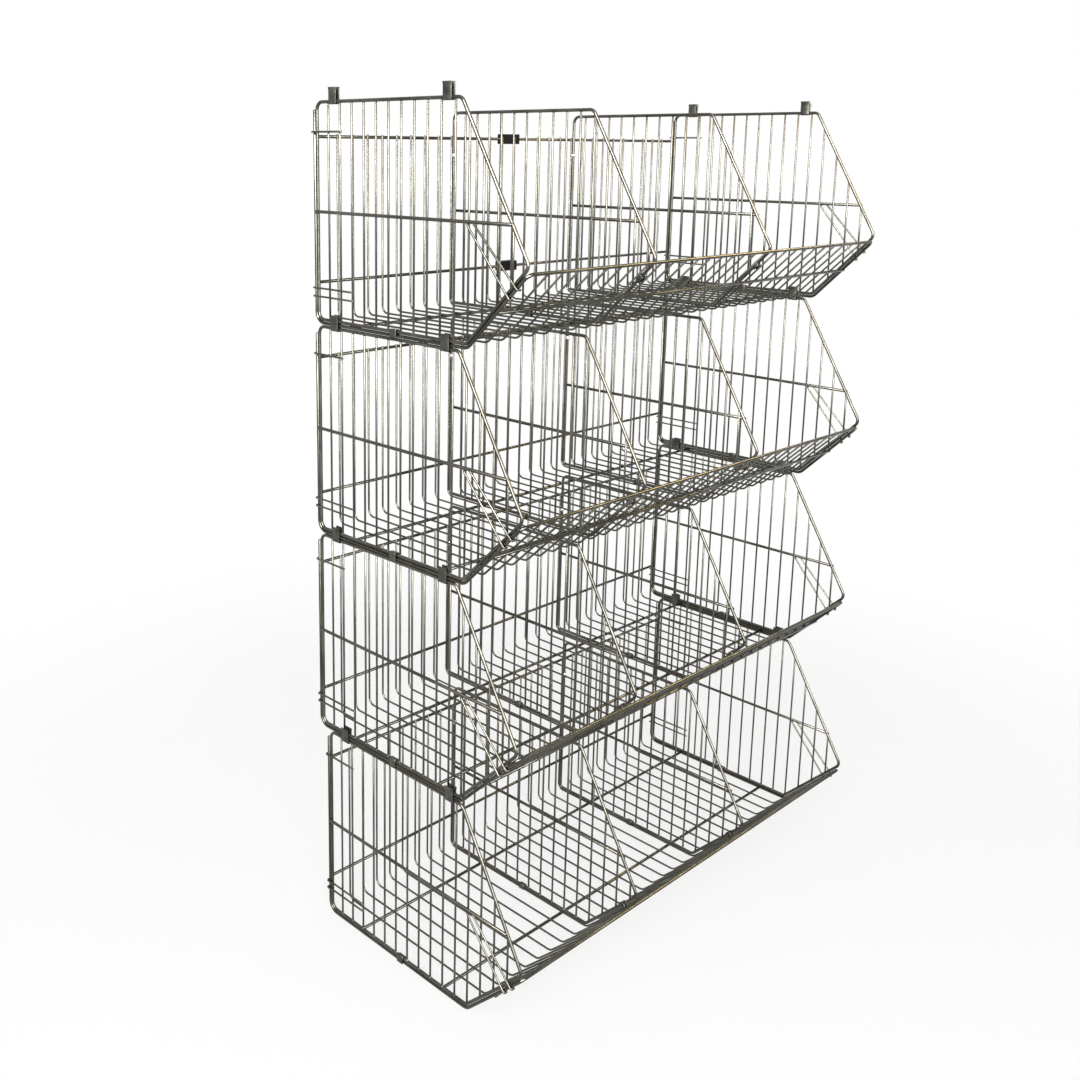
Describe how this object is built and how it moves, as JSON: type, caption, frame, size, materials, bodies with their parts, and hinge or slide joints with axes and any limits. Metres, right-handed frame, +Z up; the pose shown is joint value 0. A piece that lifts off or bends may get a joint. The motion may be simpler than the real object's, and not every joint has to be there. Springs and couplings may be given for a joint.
{
  "type": "retail dump bin",
  "caption": "Free-standing retail dump bin: a stack of open hopper-front wire baskets with end panels, lift-out dividers and folded stacking clips.",
  "frame": {"origin": "on the floor, under the middle of the bin's outer box", "axes": "+X across the width to the right as seen from the front, -Y to the front where the hopper mouths open, +Z up"},
  "size_m": [0.9258, 0.4796, 1.387],
  "materials": {
    "plated_rod": "bright zinc-plated drawn steel wire and rod, darkened with handling",
    "plated_sheet": "dull plated folded sheet steel",
    "black_plastic": "moulded black plastic, satin"
  },
  "bodies": {
    "tier_1": {"tier1_basket": "plated_rod", "tier1_left_end": "plated_rod", "tier1_left_rear_stack_clip": "plated_sheet", "tier1_left_front_stack_clip": "plated_sheet", "tier1_left_mid_clip": "plated_sheet", "tier1_right_end": "plated_rod", "tier1_right_rear_stack_clip": "plated_sheet", "tier1_right_front_stack_clip": "plated_sheet", "tier1_right_mid_clip": "plated_sheet"},
    "divider_1_left": {"tier1_left_divider": "plated_rod", "tier1_left_divider_clip": "plated_sheet"},
    "divider_1_right": {"tier1_right_divider": "plated_rod", "tier1_right_divider_clip": "plated_sheet"},
    "tier_2": {"tier2_basket": "plated_rod", "tier2_left_end": "plated_rod", "tier2_left_rear_stack_clip": "plated_sheet", "tier2_left_front_stack_clip": "plated_sheet", "tier2_left_mid_clip": "plated_sheet", "tier2_right_end": "plated_rod", "tier2_right_rear_stack_clip": "plated_sheet", "tier2_right_front_stack_clip": "plated_sheet", "tier2_right_mid_clip": "plated_sheet"},
    "divider_2_left": {"tier2_left_divider": "plated_rod", "tier2_left_divider_clip": "plated_sheet"},
    "divider_2_right": {"tier2_right_divider": "plated_rod", "tier2_right_divider_clip": "plated_sheet"},
    "tier_3": {"tier3_basket": "plated_rod", "tier3_left_end": "plated_rod", "tier3_left_rear_stack_clip": "plated_sheet", "tier3_left_front_stack_clip": "plated_sheet", "tier3_left_mid_clip": "plated_sheet", "tier3_right_end": "plated_rod", "tier3_right_rear_stack_clip": "plated_sheet", "tier3_right_front_stack_clip": "plated_sheet", "tier3_right_mid_clip": "plated_sheet"},
    "divider_3_left": {"tier3_left_divider": "plated_rod", "tier3_left_divider_clip": "plated_sheet"},
    "divider_3_right": {"tier3_right_divider": "plated_rod", "tier3_right_divider_clip": "plated_sheet"},
    "tier_4": {"tier4_basket": "plated_rod", "tier4_left_end": "plated_rod", "tier4_left_rear_stack_clip": "plated_sheet", "tier4_left_front_stack_clip": "plated_sheet", "tier4_left_mid_clip": "plated_sheet", "tier4_right_end": "plated_rod", "tier4_right_rear_stack_clip": "plated_sheet", "tier4_right_front_stack_clip": "plated_sheet", "tier4_right_mid_clip": "plated_sheet", "header_upper_block": "black_plastic", "header_lower_block": "black_plastic"},
    "divider_4_left": {"tier4_left_divider": "plated_rod", "tier4_left_divider_clip": "plated_sheet"},
    "divider_4_right": {"tier4_right_divider": "plated_rod", "tier4_right_divider_clip": "plated_sheet"},
    "header_stem": {"header_stem": "plated_sheet"}
  },
  "joints": [
    {"name": "divider_1_left_lift", "type": "slide", "parent": "tier_1", "child": "divider_1_left", "axis": [0, 0, 1], "range_m": [0, 0.008]},
    {"name": "divider_1_right_lift", "type": "slide", "parent": "tier_1", "child": "divider_1_right", "axis": [0, 0, 1], "range_m": [0, 0.008]},
    {"name": "tier_2_lift", "type": "slide", "parent": "tier_1", "child": "tier_2", "axis": [0, 0, 1], "range_m": [0, 0.06]},
    {"name": "divider_2_left_lift", "type": "slide", "parent": "tier_2", "child": "divider_2_left", "axis": [0, 0, 1], "range_m": [0, 0.008]},
    {"name": "divider_2_right_lift", "type": "slide", "parent": "tier_2", "child": "divider_2_right", "axis": [0, 0, 1], "range_m": [0, 0.008]},
    {"name": "tier_3_lift", "type": "slide", "parent": "tier_2", "child": "tier_3", "axis": [0, 0, 1], "range_m": [0, 0.06]},
    {"name": "divider_3_left_lift", "type": "slide", "parent": "tier_3", "child": "divider_3_left", "axis": [0, 0, 1], "range_m": [0, 0.008]},
    {"name": "divider_3_right_lift", "type": "slide", "parent": "tier_3", "child": "divider_3_right", "axis": [0, 0, 1], "range_m": [0, 0.008]},
    {"name": "tier_4_lift", "type": "slide", "parent": "tier_3", "child": "tier_4", "axis": [0, 0, 1], "range_m": [0, 0.06]},
    {"name": "divider_4_left_lift", "type": "slide", "parent": "tier_4", "child": "divider_4_left", "axis": [0, 0, 1], "range_m": [0, 0.3]},
    {"name": "divider_4_right_lift", "type": "slide", "parent": "tier_4", "child": "divider_4_right", "axis": [0, 0, 1], "range_m": [0, 0.3]},
    {"name": "header_stem_slide", "type": "slide", "parent": "tier_4", "child": "header_stem", "axis": [0, 0, 1], "range_m": [0, 0.18]}
  ]
}
